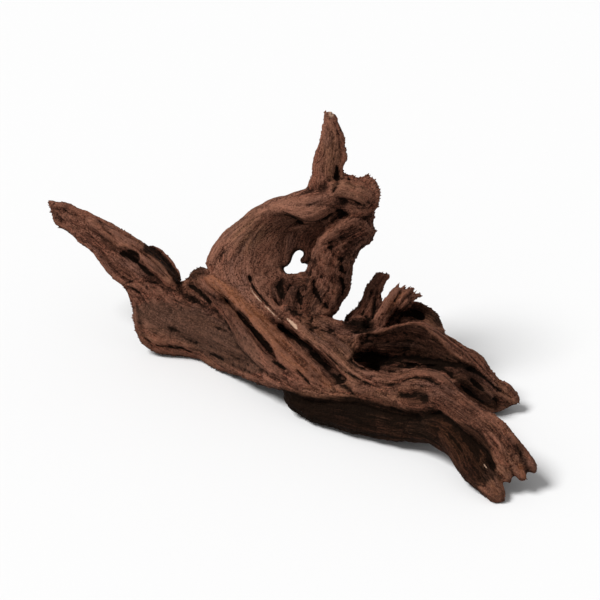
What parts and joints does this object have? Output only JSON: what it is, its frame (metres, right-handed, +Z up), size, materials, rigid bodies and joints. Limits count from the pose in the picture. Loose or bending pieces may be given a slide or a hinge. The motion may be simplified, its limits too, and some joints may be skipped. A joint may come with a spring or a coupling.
{
  "type": "driftwood",
  "caption": "Weathered driftwood root: a broad slab and a long broken arm, twisted ropes of wood, an open ring with an upright horn, and a clawed limb on the ground.",
  "frame": {"origin": "centre of the bounding box's footprint, on the ground", "axes": "+X along the length, from the broken arm to the clawed limb; +Y to the back; +Z up"},
  "size_m": [0.3981, 0.2885, 0.2254],
  "materials": {
    "wood": "dry, matt, water-worn brown wood with dark hollows"
  },
  "bodies": {
    "root": {"driftwood": "wood"}
  },
  "joints": []
}
